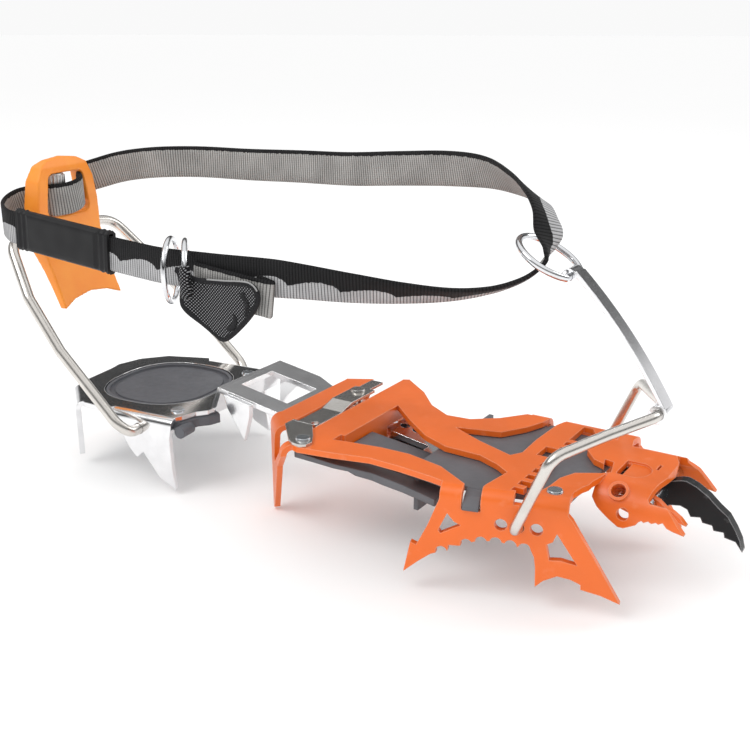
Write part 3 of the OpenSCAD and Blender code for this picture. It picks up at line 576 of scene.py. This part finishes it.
def keeper_sleeve():
    start = np.array([-173, -47.93, 67.26])
    along = unit(np.array([-86.0, 1.0, 6.2]))
    side = unit(np.cross([0, 0, 1], along))
    up = np.cross(along, side)
    length, half_w, half_t = 58.0, 8.9, 2.1

    def even(hw, ht):
        ring = []
        long_side, short_side = 26, 6
        for k in range(long_side):
            ring.append((hw - 2 * hw * (k + 0.5) / long_side, ht))
        for k in range(short_side):
            ring.append((-hw, ht - 2 * ht * (k + 0.5) / short_side))
        for k in range(long_side):
            ring.append((-hw + 2 * hw * (k + 0.5) / long_side, -ht))
        for k in range(short_side):
            ring.append((hw, -ht + 2 * ht * (k + 0.5) / short_side))
        return ring

    def rib(distance, half_width, height):
        """A rounded rib across the sleeve, this far from its own centre line."""
        if abs(distance) >= half_width:
            return 0
        return height * max(math.cos(distance / half_width * math.pi / 2), 0)

    def relief(s, w, front):
        """Two ribs near each end and, on the front, a raised panel inside a groove."""
        from_end = min(s, length - s)
        height = rib(from_end - 1.6, 1.1, 0.5) + rib(from_end - 4.6, 1.2, 0.4)
        if front and from_end > 6.6:
            inside = min(from_end - 7.4, 7.5 - abs(w))
            height += 0.62 * min(max(inside / 0.4, 0), 1) - 0.4 * max(1 - abs(inside + 0.35) / 0.4, 0)
        return height

    stations = list(np.arange(0, length + 0.01, 0.4))
    points, rings = [], 0
    outer = even(half_w, half_t)
    for s in stations:
        rounding = 0.5 * max(1 - min(s, length - s) / 0.8, 0) ** 2
        for w, t in outer:
            corner_w = max(abs(w) - (half_w - 0.7), 0)
            corner_t = max(abs(t) - (half_t - 0.7), 0)
            pull = 0.35 if corner_w > 0 and corner_t > 0 else 0
            lift = relief(s, w, t > half_t - 0.01) - rounding
            lift_t = math.copysign(lift, t) if abs(t) > half_t - 0.01 else 0
            lift_w = math.copysign(lift, w) if abs(w) > half_w - 0.01 else 0
            points.append(start + along * s + up * (w + lift_w - math.copysign(pull, w))
                          + side * (t + lift_t - math.copysign(pull, t)))
        rings += 1
    inner = even(8.0, 1.1)
    for s in (length, length - 3, length / 2, 3, 0):
        points.extend(start + along * s + up * w + side * t for w, t in inner)
        rings += 1
    return add_mesh("strap_keeper_sleeve", points, grid_faces(rings, len(outer), True), [keeper_rubber], 60)


keeper = keeper_sleeve()
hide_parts("strap_keeper")
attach(keeper, "strap_keeper")

# ---------------------------------------------------------------- pull tab

TAB_OUTLINE = [(-127.6, 68.6), (-126.4, 61.5), (-126.4, 52.6), (-119, 45.2), (-112, 40.8), (-109.2, 40.0),
               (-106.4, 40.9), (-101, 45.2), (-93.6, 52.8), (-89.9, 59.2), (-91.0, 63.8), (-95, 65.9),
               (-107.5, 65.0), (-119.6, 64.6), (-124.6, 66.6)]
TAB_Y = -52.9
TAB_POINTS = 180


def tab_ring(inset, count=TAB_POINTS):
    """The tab's outline as points [x, z], moved inward by the inset."""
    rows, _ = curve_through([(x, z, 0) for x, z in TAB_OUTLINE + TAB_OUTLINE[:1]], 0.75, True)
    at = np.linspace(0, len(rows), count, endpoint=False)
    places = np.arange(len(rows) + 1)
    ring = np.stack([np.interp(at, places, np.append(rows[:, k], rows[0, k])) for k in (0, 1)], 1)
    step = np.roll(ring, -1, 0) - np.roll(ring, 1, 0)
    normal = unit(np.stack([-step[:, 1], step[:, 0]], axis=1))
    area = np.sum(ring[:, 0] * np.roll(ring[:, 1], -1) - np.roll(ring[:, 0], -1) * ring[:, 1])
    return ring + normal * inset * (1 if area > 0 else -1)


def tab_point(x, z, depth):
    """A point of the tab; its rear end bends outward to meet the front buckle ring."""
    bend = min(max((-115.5 - x) / 8.0, 0), 1.6)
    return (x, TAB_Y - depth - 2.6 * bend * bend * (3 - bend) / 2, z)


def build_tab():
    # insets with the half thickness there: a rolled rim, then shares of the flat field inside it
    layers = [(0.0, 0.0), (0.12, 0.55), (0.45, 0.9), (0.95, 1.0), (1.5, 0.95), (1.9, 0.72)]
    shrunk = [(0.8, 0.74), (0.55, 0.8), (0.3, 0.82)]
    count = TAB_POINTS
    inner = tab_ring(1.9)
    middle = inner.mean(0)
    rim = [(tab_ring(inset), depth) for inset, depth in layers]
    field = [(middle + (inner - middle) * share, depth) for share, depth in shrunk]
    front = rim + field
    order = [(ring, -depth) for ring, depth in front[::-1]] + front[1:]
    points = [tab_point(x, z, depth) for ring, depth in order for x, z in ring]
    rings = len(order)
    faces = grid_faces(rings, count, False)
    for ring_index, depth in ((0, -0.84), (rings - 1, 0.84)):
        points.append(tab_point(middle[0], middle[1], depth))
        centre = len(points) - 1
        base = ring_index * count
        for j in range(count):
            face = (base + j, base + (j + 1) % count, centre)
            faces.append(face[::-1] if ring_index == 0 else face)
    tab = add_mesh("pull_tab_fabric", points, faces, [tab_weave, tab_edging], 60)
    for face in tab.data.polygons:
        row = min(tab.data.loops[i].vertex_index for i in face.loop_indices) // count
        border = len(front) - 1
        if border - 5 <= row <= border + 4 and len(face.vertices) == 4:
            face.material_index = 1
    return tab


tab = build_tab()
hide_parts("pull_tab")
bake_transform(tab)


def stitches(name, pairs, radius, material, body):
    """Short thread stitches, each a thin bent capsule between two points, as one mesh."""
    verts, faces = [], []
    sides = 6
    for a, b, normal in pairs:
        a, b, normal = Vector(a), Vector(b), Vector(normal).normalized()
        run = (b - a).normalized()
        across = run.cross(normal)
        base = len(verts)
        # place along the stitch, lift and thickness as shares of the thread's radius
        sections = [(0.0, -0.3, 0.45), (0.15, 0.4, 0.9), (0.5, 0.75, 1.0),
                    (0.85, 0.4, 0.9), (1.0, -0.3, 0.45)]
        for t, lift, scale in sections:
            centre = a.lerp(b, t) + normal * radius * lift
            for j in range(sides):
                angle = 2 * math.pi * j / sides
                spoke = across * math.cos(angle) + normal * math.sin(angle)
                verts.append(centre + spoke * radius * scale)
        count = len(sections)
        for i in range(count - 1):
            for j in range(sides):
                k = (j + 1) % sides
                faces.append((base + i * sides + j, base + i * sides + k,
                              base + (i + 1) * sides + k, base + (i + 1) * sides + j))
        faces.append(tuple(base + j for j in range(sides))[::-1])
        faces.append(tuple(base + (count - 1) * sides + j for j in range(sides)))
    obj = add_mesh(name, verts, faces, [material], 80)
    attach(obj, body)
    return obj


def tab_seam():
    """A running seam inside the tab's edging and two dense bar-tacks."""
    ring = tab_ring(1.35, 132)
    front = TAB_Y - 0.97
    pairs = []
    for k in range(0, len(ring), 2):
        a, b = ring[k], ring[(k + 1) % len(ring)]
        a2, b2 = a + (b - a) * 0.05, a + (b - a) * 1.35
        if min(a2[0], b2[0]) > -117:
            pairs.append(((a2[0], front, a2[1]), (b2[0], front, b2[1]), (0, -1, 0)))
    for start, end, reach in (((-98.2, 61.2), (-96.4, 52.6), 1.5), ((-102.0, 51.6), (-105.6, 45.8), 1.3)):
        a, b = np.array(start), np.array(end)
        across = unit(np.array([-(b - a)[1], (b - a)[0]]))
        for k in range(15):
            t = k / 14
            middle = a + (b - a) * t + across * 1.4 * math.sin(math.pi * t)
            p, q = middle - across * reach, middle + across * reach
            pairs.append(((p[0], TAB_Y - 0.8, p[1]), (q[0], TAB_Y - 0.8, q[1]), (0, -1, 0)))
    return pairs


stitches("pull_tab_stitching", tab_seam(), 0.26, tab_thread, "pull_tab")


def tab_top_piping():
    """A thin pale cord sewn along the upper edge of the tab."""
    ring = tab_ring(0.15)
    upper = sorted((x, z) for x, z in ring if z > 62.4 and x > -116)
    return [Vector((x, TAB_Y - 0.72, z + 0.1)) for x, z in upper]


piping = tube("pull_tab_piping", tab_top_piping(), 0.32, [tab_piping], 10)
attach(piping, "pull_tab")


def ring_sleeve():
    """The pull tab's fabric turned round the outermost part of the front buckle ring."""
    points = []
    stations, sides = 16, 24
    lowest, sweep = -0.80, 1.22
    half_depth, half_width = 1.9, 2.3
    across = np.array([math.sin(FRONT_RING_TURN), -math.cos(FRONT_RING_TURN), 0])
    beside = np.array([across[1], -across[0], 0])
    upright = np.array([0, 0, 1])
    for k in range(stations):
        t = k / (stations - 1)
        angle = lowest + sweep * t
        round_bar = math.cos(angle) * across + math.sin(angle) * upright
        centre = FRONT_RING_CENTRE + FRONT_RING_RADIUS * round_bar
        grow = 1 - 0.25 * abs(2 * t - 1) ** 6
        for j in range(sides):
            a = 2 * math.pi * j / sides
            reach = across * half_depth * math.sin(a) + beside * half_width * math.cos(a)
            points.append(tuple(centre + reach * grow))
    faces = grid_faces(stations, sides, False)
    faces.append(tuple(range(sides))[::-1])
    faces.append(tuple((stations - 1) * sides + j for j in range(sides)))
    return add_mesh("pull_tab_fold", points, faces, [tab_weave], 60)


fold = ring_sleeve()
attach(fold, "buckle_ring_front")

# ---------------------------------------------------------------- floor, light and camera

FLOOR_SIZE_M = 80.0
FLOOR_GAP_M = 0.0005
bpy.ops.mesh.primitive_plane_add(size=FLOOR_SIZE_M, location=(0, 0, cad_box[0].z - FLOOR_GAP_M))
floor = bpy.context.object
floor.name = "studio_floor"
floor_paint = Paint("studio_floor")
floor_tone = floor_paint.mix(floor_paint.noise(300, 2), (0.91, 0.91, 0.91, 1), (0.92, 0.92, 0.92, 1))
floor.data.materials.append(floor_paint.base(color=floor_tone, rough=0.95, specular=0.0))
# a trace of glow keeps the far floor as pale as the sky above it, so no horizon shows
floor_paint.shader.inputs["Emission Color"].default_value = (1, 1, 1, 1)
floor_paint.shader.inputs["Emission Strength"].default_value = 0.10

world = bpy.data.worlds.new("studio")
bpy.context.scene.world = world
world.use_nodes = True
wt = world.node_tree
background = wt.nodes["Background"]
direction = wt.nodes.new("ShaderNodeTexCoord")
split = wt.nodes.new("ShaderNodeSeparateXYZ")
wt.links.new(direction.outputs["Generated"], split.inputs[0])
bands = wt.nodes.new("ShaderNodeValToRGB")
wt.links.new(split.outputs[2], bands.inputs[0])
# what shiny parts see: a pale floor, a dark band low on the far wall, and a broad soft top light
STUDIO = [(0.0, 0.92), (0.17, 0.80), (0.26, 0.06), (0.37, 0.03),
          (0.43, 0.20), (0.55, 0.34), (0.64, 0.95), (1.0, 1.1)]
while len(bands.color_ramp.elements) < len(STUDIO):
    bands.color_ramp.elements.new(0.5)
for element, (place, value) in zip(bands.color_ramp.elements, STUDIO):
    element.position = place
    element.color = (value, value, value, 1)
ray = wt.nodes.new("ShaderNodeLightPath")
choose = wt.nodes.new("ShaderNodeMix")
choose.data_type = "RGBA"
wt.links.new(ray.outputs["Is Glossy Ray"], choose.inputs["Factor"])
choose.inputs[6].default_value = (1.0, 1.0, 1.0, 1)
wt.links.new(bands.outputs[0], choose.inputs[7])
wt.links.new(choose.outputs[2], background.inputs["Color"])
background.inputs["Strength"].default_value = 0.95


def area_light(name, place, target, size, power):
    data = bpy.data.lights.new(name, "AREA")
    data.shape = "DISK"
    data.size, data.energy = size, power
    lamp = bpy.data.objects.new(name, data)
    lamp.location = place
    lamp.rotation_euler = (Vector(target) - Vector(place)).to_track_quat("-Z", "Y").to_euler()
    bpy.context.scene.collection.objects.link(lamp)


area_light("key", (-0.5, -0.7, 1.0), (-0.08, 0, 0.02), 0.7, 5.0)
area_light("rim", (0.6, 0.8, 0.7), (-0.08, 0, 0.02), 0.6, 3.0)

# close to the toe, on the outer side, looking down at the heel
CAMERA_PLACE = Vector((142.9, -337.7, 155.6))
camera_data = bpy.data.cameras.new("camera")
camera_data.sensor_width, camera_data.lens = 36.0, 48.0
camera = bpy.data.objects.new("camera", camera_data)
right, upward = Vector((0.843, 0.537, 0.0)), Vector((-0.175, 0.2746, 0.9455))
forward = Vector((-0.508, 0.797, -0.3256))
turn = Matrix((right.normalized(), upward.normalized(), -forward.normalized())).transposed()
camera.matrix_world = Matrix.Translation(CAMERA_PLACE * MM) @ turn.to_4x4()
bpy.context.scene.collection.objects.link(camera)
bpy.context.scene.camera = camera
bpy.context.scene.view_settings.view_transform = "Standard"

bpy.context.view_layer.update()
